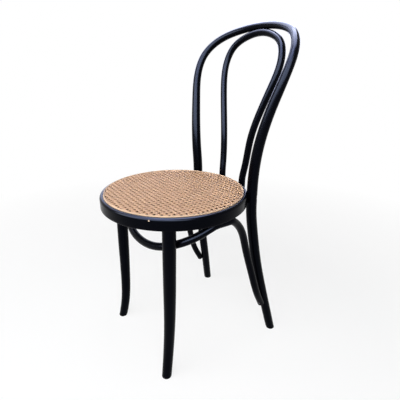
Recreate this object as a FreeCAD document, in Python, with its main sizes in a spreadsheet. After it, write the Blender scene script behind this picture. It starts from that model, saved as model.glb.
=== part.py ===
import FreeCAD, Part
import math
import os

import Sketcher
from FreeCAD import Placement, Rotation, Vector

# Bentwood chair with a round cane seat, in millimetres.
# +Z is up, -Y is the front and +X is the sitter's left. The origin is on the floor, under the
# middle of the whole chair. Shapes are drawn around the seat's own vertical axis, and every
# piece is then set back by seat_centre_y.

# Driving sizes
SIZES = {
    "seat_diameter": 400,
    "seat_height": 465,
    "ring_height": 31.5,
    "ring_width": 39,
    "ring_top_round": 7,
    "rim_width": 9.5,
    "groove_width": 6.5,
    "groove_depth": 8,
    "cane_thickness": 1.6,
    "cane_lip": 0.8,
    "cane_lip_depth": 6,
    "cane_pitch": 25.2,
    "cane_gap": 15,
    "cane_margin": 5,
    "spline_gap": 0.2,
    "spline_crown": 1,
    "frame_angle": 38.4,
    "frame_seat_radius": 14.8,
    "frame_hollow": 2,
    "hoop_angle": 13,
    "hoop_seat_radius": 10,
    "hoop_hollow": 1,
    "hoop_end_gap": 2,
    "hoop_end_bevel": 1,
    "hoop_bite": 1,
    "seat_clearance": 0.1,
    "front_angle": 55.2,
    "front_inset": 27,
    "tenon_radius": 10,
    "tenon_length": 20,
    "tenon_clearance": 0.15,
    "foot_bevel": 2.5,
    "seat_reach": 16,
    "crown_reach": 30,
    "brace_radius": 10.2,
    "brace_angle": 79.4,
    "brace_inset": 15.5,
    "brace_bite": 1.5,
    "brace_end_bevel": 3,
    "brace_end_below": 321.5,
    "brace_end_angle": 20,
    "brace_leg_angle": 30,
    "bolt_radius": 3,
    "bolt_head_radius": 7,
    "bolt_head_taper": 3,
    "bolt_head_height": 2.6,
    "bolt_sink": 3.4,
    "bolt_tail": 3,
    "nut_radius": 6.5,
    "nut_height": 5,
    "spot_face_radius": 9,
    "spot_face_depth": 1,
    "screw_radius": 2,
    "screw_head_radius": 4,
    "screw_head_height": 2.4,
    "screw_sink": 1.2,
    "screw_clearance": 0.1,
    "screw_in_seat": 14,
    "screw_in_leg": 13,
    "screw_in_bow": 9,
}

# Stations of the rods on the sitter's left. Each holds how far it lies outward and how far to
# the rear (on the front leg, to the front) of the place where the rod meets the seat ring, then
# a height and, on the tapered rods, a radius.

# No heights: the feet stand on the floor
FOOT_STATIONS = {
    "frame_foot": (40.8, 74.2, 12.9),
    "front_foot": (7.9, 26, 12.9),
}

# Heights above the floor
FLOOR_STATIONS = {
    "frame_shin": (22.8, 46.7, 130, 13.7),
    "front_ankle": (3.9, 19.8, 35, 13.3),
    "front_shin": (1.1, 13.3, 85, 13.8),
    "front_calf": (1.8, 9.3, 145, 14.5),
}

# Depths below the ring
RING_STATIONS = {
    "frame_calf": (9.8, 23.7, 190.5, 14.3),
    "frame_knee": (1.6, 10.7, 98.5, 14.8),
    "front_knee": (3.4, 5.9, 173.5, 16),
    "front_thigh": (2.6, 2.8, 57.5, 16.6),
    "front_top": (0, 0, 0, 16.8),
    "brace_shin": (-14.3, 144.5, 285.5),
    "brace_calf": (-18.8, 119.6, 205.5),
    "brace_knee": (-20.8, 92.5, 114.5),
    "brace_rise": (-14.3, 70.7, 59),
    "brace_bend": (-3.8, 34, 16.5),
    "brace_side": (-9.8, -61.6, 27.1),
    "brace_brow": (-92.3, -134.4, 74.9),
    "brace_middle": (0, -146.7, 86.7),
}

# Heights above the seat
SEAT_STATIONS = {
    "bow_waist": (5.6, -0.8, 75, 14.4),
    "bow_rib": (17.1, 4.2, 149, 13.7),
    "bow_chest": (35.8, 17.7, 230, 12.7),
    "bow_shoulder": (54.4, 40.7, 313, 11.4),
    "bow_turn": (51.2, 60.2, 354.5, 10.8),
    "bow_corner": (30.6, 81.7, 385.3, 10.4),
    "bow_brow": (-47.7, 116.5, 418.6, 10),
    "bow_crown": (0, 127.2, 426.5, 9.8),
    "hoop_low": (3.6, 4.8, 42, 10),
    "hoop_waist": (13.7, 13.2, 128, 9.9),
    "hoop_rib": (35.5, 26.4, 210, 9.8),
    "hoop_chest": (54.4, 39.6, 269, 9.8),
    "hoop_shoulder": (64.8, 56.7, 332, 9.7),
    "hoop_corner": (50, 69.4, 373, 9.7),
    "hoop_brow": (5.5, 81, 400.2, 9.6),
}

# Sizes that follow from the driving ones
FORMULAS = {
    "seat_radius": "=seat_diameter / 2",
    "ring_inner_radius": "=seat_radius - ring_width",
    "ring_bottom": "=seat_height - ring_height",
    "groove_outer_radius": "=seat_radius - rim_width",
    "groove_inner_radius": "=groove_outer_radius - groove_width",
    "groove_floor": "=ring_height - groove_depth",
    "frame_reach": "=seat_radius + frame_seat_radius - frame_hollow",
    "hoop_reach": "=seat_radius + hoop_seat_radius - hoop_hollow",
    "front_reach": "=seat_radius - front_inset",
    "brace_reach": "=seat_radius - brace_inset",
    "bow_back": "=frame_reach * cos(frame_angle * 1deg) + bow_crown_along + bow_crown_radius",
    "seat_centre_y": "=(seat_radius - bow_back) / 2",
    "lip_outer_radius": "=groove_inner_radius + cane_lip",
    "lip_floor": "=ring_height - cane_lip_depth",
    "cane_top": "=ring_height + cane_thickness",
    "spline_inner_radius": "=lip_outer_radius + spline_gap",
    "spline_outer_radius": "=groove_outer_radius - spline_gap",
    "spline_top": "=cane_top + spline_crown",
    "tenon_socket_radius": "=tenon_radius + tenon_clearance",
    "tenon_socket_depth": "=tenon_length + tenon_clearance",
    "frame_hollow_radius": "=frame_seat_radius + seat_clearance",
    "hoop_hollow_radius": "=hoop_seat_radius + seat_clearance",
    "brace_hollow_radius": "=brace_radius + seat_clearance",
    "brace_hollow_length": "=4 * seat_reach",
    "brace_drop": "=brace_radius - brace_bite",
    "bolt_crown_radius": "=bolt_head_radius - bolt_head_taper",
    "bolt_height": "=ring_height / 2",
    "bolt_hole_radius": "=bolt_radius + screw_clearance",
    "bolt_grip": "=frame_seat_radius - bolt_sink + frame_reach - ring_inner_radius - spot_face_depth",
    "bolt_length": "=bolt_grip + nut_height + bolt_tail",
    "spot_face_reach": "=ring_inner_radius + spot_face_depth",
    "screw_hole_radius": "=screw_radius + screw_clearance",
    "seat_screw_hole": "=brace_drop + screw_in_seat + screw_clearance",
    "seat_screw_length": "=brace_drop + brace_radius - screw_sink + screw_in_seat",
    "leg_screw_hole": "=brace_drop + screw_in_leg + screw_clearance",
    "leg_screw_length": "=brace_drop + brace_radius - screw_sink + screw_in_leg",
    "end_screw_hole": "=hoop_seat_radius - hoop_hollow + screw_in_seat + screw_clearance",
    "end_screw_length": "=2 * hoop_seat_radius - hoop_hollow - screw_sink + screw_in_seat",
    "top_screw_length": "=2 * hoop_brow_radius - hoop_bite - screw_sink + screw_in_bow",
}

# A bent rod has a section for every bend of that many degrees or straight run of that length
SECTION_BEND = 24
SECTION_RUN = 240
SAMPLES = 120
PASSES = 60
SEAT_SPACE = 1.4
SIDES = {"left": 1, "right": -1}
UP = Vector(0, 0, 1)
ACROSS = Vector(-1, 0, 0)
FORWARD = Vector(0, -1, 0)

doc = FreeCAD.newDocument("bentwood_chair")
sheet = doc.addObject("Spreadsheet::Sheet", "sizes")


def station_rows(stations, suffixes, height=None):
    """Rows for a group of stations, and a height above the floor where that has a formula."""
    rows = {}
    for name, values in stations.items():
        for suffix, value in zip(suffixes, values):
            rows[f"{name}_{suffix}"] = value
        if height:
            rows[f"{name}_z"] = f"={height} {name}_{suffixes[2]}"
    return rows


def fill_sheet():
    """Write every size into the sheet, one row each, under its own alias."""
    rows = dict(SIZES)
    rows.update(station_rows(FOOT_STATIONS, ("out", "along", "radius")))
    rows.update(station_rows(FLOOR_STATIONS, ("out", "along", "z", "radius")))
    rows.update(station_rows(RING_STATIONS, ("out", "along", "below", "radius"), "ring_bottom -"))
    rows.update(station_rows(SEAT_STATIONS, ("out", "along", "above", "radius"), "seat_height +"))
    rows.update(FORMULAS)
    for row, name in enumerate(rows, start=1):
        sheet.set(f"A{row}", name)
        sheet.setAlias(f"B{row}", name)
    for name, value in rows.items():
        sheet.set(name, str(value))
    doc.recompute()


def size(name):
    return float(sheet.get(name))


def around_seat(reach, degrees, height):
    """A point at that distance from the seat's axis, turned from the rear to the left."""
    angle = math.radians(degrees)
    return Vector(reach * math.sin(angle), reach * math.cos(angle), height)


def meeting_point(rod):
    """Where a rod meets the seat ring, on the sitter's left, at the floor's height."""
    if rod == "front":
        return around_seat(size("front_reach"), 180 - size("front_angle"), 0)
    return around_seat(size(f"{rod}_reach"), size(f"{rod}_angle"), 0)


def beside(name, rod):
    """A rod's station at the floor's height, measured from where the rod meets the ring."""
    meeting = meeting_point(rod)
    along = size(f"{name}_along") * (-1 if rod == "front" else 1)
    return Vector(meeting.x + size(f"{name}_out"), meeting.y + along, 0)


def station(name, rod):
    """The centre of a rod's station."""
    return beside(name, rod) + UP * size(f"{name}_z")


def place(piece, height=None):
    """Bind a piece's Placement to the sheet, after its Shape is set."""
    piece.setExpression("Placement.Base.y", "sizes.seat_centre_y")
    if height:
        piece.setExpression("Placement.Base.z", f"sizes.{height}")


# Sketches and PartDesign features


def new_body(label, height=None):
    body = doc.addObject("PartDesign::Body", label)
    body.Label = label
    place(body, height)
    return body


def sketch_on(body, name, role="XY_Plane", offset=None):
    """A sketch on one of the body's origin planes."""
    sketch = body.newObject("Sketcher::SketchObject", name)
    plane = next(item for item in body.Origin.OriginFeatures if item.Role == role)
    sketch.AttachmentSupport = [(plane, "")]
    sketch.MapMode = "FlatFace"
    if offset:
        sketch.AttachmentOffset = offset
    return sketch


def bind(sketch, kind, items, expression):
    """Add a dimension to the sketch and bind it to the sheet."""
    value = sheet.evalExpression(expression)
    number = sketch.addConstraint(Sketcher.Constraint(kind, *items, float(value)))
    sketch.setExpression(f"Constraints[{number}]", expression)


def draw_circle(sketch, radius, x="0", y="0"):
    """A circle whose radius and centre are expressions of the sheet's cells."""
    centre = Vector(sheet.evalExpression(x), sheet.evalExpression(y), 0)
    circle = Part.Circle(centre, Vector(0, 0, 1), sheet.evalExpression(radius))
    index = sketch.addGeometry(circle)
    bind(sketch, "Radius", (index,), radius)
    bind(sketch, "DistanceX", (-1, 1, index, 3), x)
    bind(sketch, "DistanceY", (-1, 1, index, 3), y)


def draw_outline(sketch, corners):
    """A closed outline whose corners are pairs of expressions of the sheet's cells."""
    points = [Vector(sheet.evalExpression(x), sheet.evalExpression(y), 0) for x, y in corners]
    for index, point in enumerate(points):
        sketch.addGeometry(Part.LineSegment(point, points[(index + 1) % len(points)]))
    for index, (x, y) in enumerate(corners):
        after = (index + 1) % len(corners)
        sketch.addConstraint(Sketcher.Constraint("Coincident", index, 2, after, 1))
        bind(sketch, "DistanceX", (-1, 1, index, 1), x)
        bind(sketch, "DistanceY", (-1, 1, index, 1), y)


def box_corners(left, bottom, right, top):
    return [(left, bottom), (right, bottom), (right, top), (left, top)]


def turn(body, kind, sketch):
    """Revolve a sketch of the XZ plane about the vertical axis."""
    feature = body.newObject(f"PartDesign::{kind}", f"{sketch.Name}_turned")
    feature.Profile = sketch
    feature.ReferenceAxis = (sketch, ["V_Axis"])
    feature.Angle = 360
    sketch.Visibility = False
    return feature


def pocket(body, sketch, depth=None):
    """Cut a sketch along its normal, by a cell's depth or right through."""
    feature = body.newObject("PartDesign::Pocket", f"{sketch.Name}_pocket")
    feature.Profile = sketch
    feature.Reversed = True
    if depth:
        feature.Type = "Length"
        feature.setExpression("Length", f"sizes.{depth}")
    else:
        feature.Type = "ThroughAll"
    return feature


def drill(body, name, start, direction, radius, depth):
    """A round hole from a point in any direction."""
    offset = Placement(start, Rotation(Vector(0, 0, 1), direction))
    sketch = sketch_on(body, name, offset=offset)
    draw_circle(sketch, f"sizes.{radius}")
    return pocket(body, sketch, depth)


# Bent rods


class CentreLine:
    """A smooth curve through a rod's stations, with both end directions given."""

    def __init__(self, stations, start, end):
        self.centres = [centre for centre, radius in stations]
        self.radii = [radius for centre, radius in stations]
        self.marks = [0.0]
        for low, high in zip(self.centres, self.centres[1:]):
            self.marks.append(self.marks[-1] + (high - low).Length)
        self.slopes = [start] * (len(stations) - 1) + [end]
        for _ in range(PASSES):
            self.even_slopes()

    def even_slopes(self):
        """Bring the slopes at the inner stations nearer to those with no jump in curvature."""
        for number in range(1, len(self.marks) - 1):
            before = self.marks[number] - self.marks[number - 1]
            after = self.marks[number + 1] - self.marks[number]
            low = self.centres[number] - self.centres[number - 1]
            high = self.centres[number + 1] - self.centres[number]
            pull = (low * (after / before) + high * (before / after)) * 3
            pull = pull - self.slopes[number - 1] * after - self.slopes[number + 1] * before
            self.slopes[number] = pull * (0.5 / (before + after))

    def span(self, mark):
        """The span that holds a mark, its length and the share of it passed there."""
        number = max(index for index in range(len(self.marks) - 1) if self.marks[index] <= mark)
        length = self.marks[number + 1] - self.marks[number]
        return number, length, (mark - self.marks[number]) / length

    def centre(self, mark):
        number, length, share = self.span(mark)
        rest = 1 - share
        low = self.centres[number] * (1 + 2 * share) + self.slopes[number] * (length * share)
        high = self.centres[number + 1] * (1 + 2 * rest) - self.slopes[number + 1] * (length * rest)
        return low * rest**2 + high * share**2

    def direction(self, mark):
        number, length, share = self.span(mark)
        chord = (self.centres[number + 1] - self.centres[number]) * (6 * share * (1 - share) / length)
        way = chord + self.slopes[number] * ((1 - share) * (1 - 3 * share))
        way = way + self.slopes[number + 1] * (share * (3 * share - 2))
        way.normalize()
        return way

    def radius(self, mark):
        number, length, share = self.span(mark)
        return self.radii[number] + share * (self.radii[number + 1] - self.radii[number])

    def mark_at_height(self, height):
        """Where a rising centre line reaches that height."""
        low, high = self.marks[0], self.marks[-1]
        for _ in range(PASSES):
            middle = (low + high) / 2
            if self.centre(middle).z < height:
                low = middle
            else:
                high = middle
        return low

    def even_marks(self, start, end):
        """Marks from start to end, closer together where the rod bends."""
        step = (end - start) / SAMPLES
        samples = [start + index * step for index in range(SAMPLES)] + [end]
        reached = [0.0]
        for low, high in zip(samples, samples[1:]):
            bend = math.degrees(self.direction(low).getAngle(self.direction(high)))
            reached.append(reached[-1] + bend / SECTION_BEND + step / SECTION_RUN)
        count = math.ceil(reached[-1])
        marks = []
        for index in range(count + 1):
            wanted = reached[-1] * index / count
            marks.append(min(zip(reached, samples), key=lambda pair: abs(pair[0] - wanted))[1])
        return marks

    def section(self, mark, shift=0.0):
        """The centre, direction and radius at a mark, or straight on or back from it."""
        along = self.direction(mark)
        return self.centre(mark) + along * shift, along, self.radius(mark)

    def sections(self, straight=()):
        """All sections of the rod.

        At each mark in straight the rod runs straight for seat_reach both ways, so that what is
        screwed on there has an even seat.
        """
        reach = size("seat_reach")
        stops = sorted([self.marks[0], *straight, self.marks[-1]])
        entries = {(stop, 0.0) for stop in (self.marks[0], self.marks[-1])}
        for low, high in zip(stops, stops[1:]):
            for mark in self.even_marks(low, high):
                if all(abs(mark - seat) > SEAT_SPACE * reach for seat in straight):
                    entries.add((mark, 0.0))
        for seat in straight:
            entries |= {(seat, -reach), (seat, reach)}
        return [self.section(*entry) for entry in sorted(entries)]


def mirrored(half):
    """A whole rod from its left half, which may end with a section on the middle plane."""
    other = []
    for centre, along, radius in reversed(half):
        if centre.x > 0:
            there = Vector(-centre.x, centre.y, centre.z)
            other.append((there, Vector(along.x, -along.y, -along.z), radius))
    return half + other


def tube(sections):
    """A rod through circles square to its centre line, turned as little as they allow."""
    first = sections[0][1]
    across = first.cross(Vector(0.6, 0.8, 0.1))
    wires = []
    for centre, along, radius in sections:
        across = across - along * across.dot(along)
        across.normalize()
        circle = Part.Circle(centre, along, radius)
        circle.XAxis = across
        wires.append(Part.Wire(circle.toShape()))
    return Part.makeLoft(wires, True, True)


def frame_leg_line():
    """The rear leg's centre line, from the top of its foot's bevel up to the ring."""
    sole = beside("frame_foot", "frame")
    lean = station("frame_shin", "frame") - sole
    foot = sole + lean * (size("foot_bevel") / size("frame_shin_z"))
    stations = [(foot, size("frame_foot_radius"))]
    for name in ("frame_shin", "frame_calf", "frame_knee"):
        stations.append((station(name, "frame"), size(f"{name}_radius")))
    stations.append((meeting_point("frame") + UP * size("ring_bottom"), size("frame_seat_radius")))
    way = stations[1][0] - stations[0][0]
    way.normalize()
    return CentreLine(stations, way, UP)


def rear_leg_seat():
    """The rear leg's centre, direction and radius where the brace ends."""
    leg = frame_leg_line()
    return leg.section(leg.mark_at_height(size("ring_bottom") - size("brace_end_below")))


def frame_sections():
    """Half of the back frame: rear leg, straight stretch at the ring, then the bow."""
    leg = frame_leg_line()
    foot, _, radius = leg.section(0)
    bevel = size("foot_bevel")
    sole = [(beside("frame_foot", "frame"), UP, radius - bevel), (foot, UP, radius)]
    brace_end = leg.mark_at_height(size("ring_bottom") - size("brace_end_below"))
    bow = [(meeting_point("frame") + UP * size("seat_height"), size("frame_seat_radius"))]
    for name in ("waist", "rib", "chest", "shoulder", "turn", "corner", "brow"):
        bow.append((station(f"bow_{name}", "frame"), size(f"bow_{name}_radius")))
    bow.append((bow_crown(), size("bow_crown_radius")))
    arch = CentreLine(bow, UP, ACROSS).sections()
    return sole + leg.sections([brace_end])[1:] + level_end(arch, size("crown_reach"))


def level_end(sections, reach):
    """The same sections, but straight and level for the reach from the middle plane."""
    centre, along, radius = sections[-1]
    kept = [item for item in sections if item[0].x > SEAT_SPACE * reach]
    return kept + [(centre - along * reach, along, radius)]


def bow_crown():
    """The middle of the bow's top."""
    crown = station("bow_crown", "frame")
    crown.x = 0
    return crown


def bow_lean():
    """The direction in which the top of the back leans, up and to the rear."""
    lean = bow_crown() - station("hoop_chest", "hoop")
    lean.x = 0
    lean.normalize()
    return lean


def hoop_crown():
    """The middle of the hoop's top, under the bow and in line with its lean."""
    drop = size("bow_crown_radius") + size("hoop_brow_radius") - size("hoop_bite")
    return bow_crown() - bow_lean() * drop


def hoop_sections():
    """Half of the inner hoop: straight end behind the ring, then the hoop."""
    radius = size("hoop_seat_radius")
    bevel = size("hoop_end_bevel")
    meeting = meeting_point("hoop")
    end = meeting + UP * (size("ring_bottom") + size("hoop_end_gap"))
    stations = [(meeting + UP * size("seat_height"), radius)]
    for name in ("low", "waist", "rib", "chest", "shoulder", "corner", "brow"):
        stations.append((station(f"hoop_{name}", "hoop"), size(f"hoop_{name}_radius")))
    stations.append((hoop_crown(), size("hoop_brow_radius")))
    foot = [(end, UP, radius - bevel), (end + UP * bevel, UP, radius)]
    return foot + level_end(CentreLine(stations, UP, ACROSS).sections(), size("seat_reach"))


def front_leg_seat():
    """The front leg's centre and radius where the brace passes."""
    return station("front_thigh", "front"), size("front_thigh_radius")


def brace_on_frame():
    """The brace's end point in front of the rear leg, and the way from it to the leg."""
    centre, _, radius = rear_leg_seat()
    turn_out = math.radians(size("brace_end_angle"))
    away = Vector(math.sin(turn_out), -math.cos(turn_out), 0)
    return centre + away * (radius + size("brace_drop")), away * -1


def brace_on_front_leg():
    """The brace's point behind the front leg, and the way from it to the leg."""
    centre, radius = front_leg_seat()
    turn_in = math.radians(size("brace_leg_angle"))
    away = Vector(-math.sin(turn_in), math.cos(turn_in), 0)
    return centre + away * (radius + size("brace_drop")), away * -1


def brace_under_ring():
    """The brace's highest point, bedded into the ring's underside."""
    return meeting_point("brace") + UP * (size("ring_bottom") - size("brace_drop"))


def brace_sections():
    """Half of the brace, from the rear leg up to the ring and down to the middle."""
    radius = size("brace_radius")
    bevel = size("brace_end_bevel")
    reach = size("seat_reach")
    end = brace_on_frame()[0]
    rear = [end] + [station(f"brace_{name}", "brace") for name in ("shin", "calf", "knee", "rise", "bend")]
    rear.append(brace_under_ring() - FORWARD * reach)
    along = rear[1] - end
    along.normalize()
    middle = station("brace_middle", "brace")
    middle.x = 0
    front = [brace_under_ring() + FORWARD * reach, station("brace_side", "brace")]
    front += [brace_on_front_leg()[0], station("brace_brow", "brace"), middle]
    rise = CentreLine([(centre, radius) for centre in rear], along, FORWARD)
    fall = CentreLine([(centre, radius) for centre in front], FORWARD, ACROSS)
    tip = [(end - along * radius, along, radius - bevel), (end - along * (radius - bevel), along, radius)]
    seat = [(end + along * reach, along, radius)]
    return tip + seat + rise.sections()[1:] + fall.sections([fall.marks[2]])


# Screws and their holes in the rods


def aim(start, direction):
    """The placement of a piece whose own +Z runs from the start in that direction."""
    return Placement(start, Rotation(UP, direction))


def head_point(centre, direction, radius):
    """Where a screw's head starts, sunk into the far side of a rod."""
    way = Vector(direction)
    way.normalize()
    return centre - way * (radius - size("screw_sink"))


def stepped_room(start, direction, head, depth, shank, length):
    """The hole that a screw or bolt needs in a rod, with a counterbore for its head."""
    gap = size("screw_clearance")
    reach = size("seat_reach")
    counterbore = Part.makeCylinder(head + gap, reach + depth, UP * -reach)
    hole = counterbore.fuse(Part.makeCylinder(shank + gap, length + gap))
    hole.Placement = aim(start, direction)
    return hole


def primitive(kind, name, **cells):
    """A Part primitive whose properties are bound to cells of the sheet."""
    piece = doc.addObject(f"Part::{kind}", name)
    for prop, expression in cells.items():
        piece.setExpression(prop.replace("_", "."), expression)
    return piece


def fuse(name, *parts):
    piece = doc.addObject("Part::MultiFuse", name)
    piece.Shapes = list(parts)
    return piece


def cut(name, base, tool):
    piece = doc.addObject("Part::Cut", name)
    piece.Base = base
    piece.Tool = tool
    return piece


def screw(name, length, start, direction):
    """A screw whose head's top lies at the start."""
    cells = {"Radius": "sizes.screw_head_radius", "Height": "sizes.screw_head_height"}
    head = primitive("Cylinder", f"{name}_head", **cells)
    shank = primitive("Cylinder", f"{name}_shank", Radius="sizes.screw_radius", Height=f"sizes.{length}")
    piece = fuse(name, head, shank)
    piece.Placement = aim(start, direction)
    return piece


def group(label, pieces):
    """Equal loose pieces under one label."""
    compound = doc.addObject("Part::Compound", label)
    compound.Label = label
    compound.Links = pieces
    place(compound)
    return compound


def screw_pair(label, length, start, direction):
    """The same screw on both sides of the chair."""
    pieces = []
    for side, sign in SIDES.items():
        there = Vector(sign * start.x, start.y, start.z)
        way = Vector(sign * direction.x, direction.y, direction.z)
        pieces.append(screw(f"{label}_{side}", length, there, way))
    return group(label, pieces)


# The pieces


def make_seat_ring():
    """The bent ring, with its groove, sockets, hollows and holes."""
    body = new_body("seat_ring", "ring_bottom")
    section = sketch_on(body, "ring_section", "XZ_Plane")
    inner, outer, top = "sizes.ring_inner_radius", "sizes.seat_radius", "sizes.ring_height"
    corners = [(inner, "0"), (outer, "0")]
    for degrees in (0, 45, 90):
        across = f"{outer} - sizes.ring_top_round * (1 - cos({degrees}deg))"
        corners.append((across, f"{top} - sizes.ring_top_round * (1 - sin({degrees}deg))"))
    corners.append((inner, top))
    draw_outline(section, corners)
    turn(body, "Revolution", section)
    groove = sketch_on(body, "cane_groove", "XZ_Plane")
    groove_sides = ("sizes.groove_inner_radius", "sizes.groove_floor", "sizes.groove_outer_radius")
    draw_outline(groove, box_corners(*groove_sides, "sizes.cane_top"))
    turn(body, "Groove", groove)
    hollows = sketch_on(body, "rod_hollows")
    sockets = sketch_on(body, "tenon_sockets")
    for sign in SIDES.values():
        for rod in ("frame", "hoop"):
            reach = f"sizes.{rod}_reach"
            angle = f"sizes.{rod}_angle * 1deg"
            x = f"{sign} * {reach} * sin({angle})"
            draw_circle(hollows, f"sizes.{rod}_hollow_radius", x, f"{reach} * cos({angle})")
        x = f"{sign} * sizes.front_reach * sin(sizes.front_angle * 1deg)"
        y = "-sizes.front_reach * cos(sizes.front_angle * 1deg)"
        draw_circle(sockets, "sizes.tenon_socket_radius", x, y)
    pocket(body, hollows)
    pocket(body, sockets, "tenon_socket_depth")
    height = size("bolt_height")
    for side, sign in SIDES.items():
        outward = around_seat(1, sign * size("frame_angle"), 0)
        hub = Vector(0, 0, height)
        drill(body, f"bolt_hole_{side}", hub, outward, "bolt_hole_radius", "seat_radius")
        drill(body, f"spot_face_{side}", hub, outward, "spot_face_radius", "spot_face_reach")
        inward = around_seat(1, sign * size("hoop_angle"), 0) * -1
        start = inward * -size("hoop_reach") + hub
        drill(body, f"hoop_hole_{side}", start, inward, "screw_hole_radius", "end_screw_hole")
    for side, sign in SIDES.items():
        there = brace_under_ring() - UP * size("ring_bottom")
        there.x *= sign
        start = there - FORWARD * (size("brace_hollow_length") / 2)
        drill(body, f"brace_hollow_{side}", start, FORWARD, "brace_hollow_radius", "brace_hollow_length")
        drill(body, f"brace_hole_{side}", there, UP, "screw_hole_radius", "seat_screw_hole")
    return body


def square(x, y, width):
    """A square gap of the cane."""
    half = width / 2
    corners = [(-half, -half), (half, -half), (half, half), (-half, half), (-half, -half)]
    return Part.makePolygon([Vector(x + across, y + along, 0) for across, along in corners])


def make_cane_panel():
    """The cane over the opening, as one holed face, with its lip turned down into the groove."""
    top = size("ring_height")
    thickness = size("cane_thickness")
    pitch = size("cane_pitch")
    gap = size("cane_gap")
    edge = size("ring_inner_radius") - size("cane_margin") - gap / 2
    lip_radius = size("lip_outer_radius")
    outline = Part.Wire(Part.makeCircle(lip_radius))
    count = int(edge / pitch)
    gaps = []
    for column in range(-count, count + 1):
        for row in range(-count, count + 1):
            if math.hypot(column * pitch, row * pitch) <= edge:
                gaps.append(square(column * pitch, row * pitch, gap))
    net = Part.makeFace([outline, *gaps], "Part::FaceMakerBullseye").extrude(UP * thickness)
    net.translate(UP * top)
    depth = size("cane_lip_depth")
    lip = Part.makeCylinder(lip_radius, depth, UP * (top - depth))
    lip = lip.cut(Part.makeCylinder(size("groove_inner_radius"), depth, UP * (top - depth)))
    panel = doc.addObject("Part::Feature", "cane_panel")
    panel.Label = "cane_panel"
    panel.Shape = net.fuse(lip).removeSplitter()
    place(panel, "ring_bottom")
    print(f"cane gaps: {len(gaps)}")
    return panel


def make_cane_spline():
    """The reed bead that holds the cane in the groove and stands a little proud of it."""
    body = new_body("cane_spline", "ring_bottom")
    section = sketch_on(body, "spline_section", "XZ_Plane")
    sides = ("sizes.spline_inner_radius", "sizes.lip_floor", "sizes.spline_outer_radius")
    draw_outline(section, box_corners(*sides, "sizes.spline_top"))
    turn(body, "Revolution", section)
    return body


def make_front_leg(side, sign):
    """A front leg: a loft through its stations, a bevelled foot and a round tenon."""
    body = new_body(f"front_leg_{side}")
    meeting_x = "sizes.front_reach * sin(sizes.front_angle * 1deg)"
    meeting_y = "sizes.front_reach * cos(sizes.front_angle * 1deg)"

    def leg_circle(name, out, along, radius, height):
        sketch = sketch_on(body, f"{name}_{side}")
        draw_circle(sketch, radius, f"{sign} * ({meeting_x} + {out})", f"-({meeting_y} + {along})")
        sketch.setExpression("AttachmentOffset.Base.z", height)
        return sketch

    def at_station(name, station_name, radius, height):
        out, along = f"sizes.front_{station_name}_out", f"sizes.front_{station_name}_along"
        return leg_circle(name, out, along, radius, height)

    foot = "sizes.front_foot_radius"
    lean = "sizes.foot_bevel / sizes.front_ankle_z"
    leaning = [
        f"sizes.front_foot_{way} + (sizes.front_ankle_{way} - sizes.front_foot_{way}) * {lean}"
        for way in ("out", "along")
    ]
    sketches = [
        at_station("sole", "foot", f"{foot} - sizes.foot_bevel", "0"),
        leg_circle("foot", *leaning, foot, "sizes.foot_bevel"),
    ]
    for name in ("ankle", "shin", "calf", "knee"):
        sketches.append(at_station(name, name, f"sizes.front_{name}_radius", f"sizes.front_{name}_z"))
    for name, shift in (("seat_low", "-"), ("seat_high", "+")):
        height = f"sizes.front_thigh_z {shift} sizes.seat_reach"
        sketches.append(at_station(name, "thigh", "sizes.front_thigh_radius", height))
    sketches.append(at_station("top", "top", "sizes.front_top_radius", "sizes.ring_bottom"))
    loft = body.newObject("PartDesign::AdditiveLoft", f"leg_loft_{side}")
    loft.Profile = sketches[0]
    loft.Sections = sketches[1:]
    loft.Ruled = True
    tenon_circle = at_station("tenon_circle", "top", "sizes.tenon_radius", "sizes.ring_bottom")
    tenon = body.newObject("PartDesign::Pad", f"tenon_{side}")
    tenon.Profile = tenon_circle
    tenon.setExpression("Length", "sizes.tenon_length")
    start, direction = brace_on_front_leg()
    start.x *= sign
    direction.x *= sign
    drill(body, f"leg_hole_{side}", start, direction, "screw_hole_radius", "leg_screw_hole")
    return body


def rod_feature(label, shape):
    """A bent rod's own object."""
    piece = doc.addObject("Part::Feature", label)
    piece.Label = label
    piece.Shape = shape
    place(piece)
    return piece


def mirror_image(shape):
    return shape.mirror(Vector(0, 0, 0), Vector(1, 0, 0))


def make_back_frame(frame, rooms):
    """The bent rod of both rear legs and the outer bow, with its holes and the hoop's hollow."""
    holes = []
    for name in ("brace_rear_screws", "frame_bolts"):
        holes += [rooms[name], mirror_image(rooms[name])]
    holes.append(rooms["hoop_top_screw"])
    holes.append(seat_room(hoop_crown(), ACROSS, size("hoop_brow_radius"), size("crown_reach")))
    return rod_feature("back_frame", tube(mirrored(frame)).cut(holes))


def make_inner_hoop(hoop, rooms):
    """The bent rod of the inner hoop, bedded into the bow's underside."""
    end_screw = rooms["hoop_end_screws"]
    holes = [rooms["hoop_top_screw"], end_screw, mirror_image(end_screw)]
    return rod_feature("inner_hoop", tube(mirrored(hoop)).cut(holes))


def make_leg_brace(brace, rooms):
    """The bent rod of the brace, hollowed where it lies against the legs."""
    leg_centre, leg_radius = front_leg_seat()
    frame_centre, lean, frame_radius = rear_leg_seat()
    reach = size("seat_reach")
    seats = [
        seat_room(leg_centre, UP, leg_radius, reach),
        seat_room(frame_centre, lean, frame_radius, reach),
    ]
    holes = seats + [mirror_image(seat) for seat in seats]
    for name in ("brace_rear_screws", "brace_seat_screws", "brace_front_screws"):
        holes += [rooms[name], mirror_image(rooms[name])]
    return rod_feature("leg_brace", tube(mirrored(brace)).cut(holes))


def seat_room(centre, along, radius, reach):
    """The room that a rod's straight stretch takes out of the rod that seats on it."""
    base = centre - along * reach
    return Part.makeCylinder(radius + size("seat_clearance"), 2 * reach, base, along)


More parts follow.
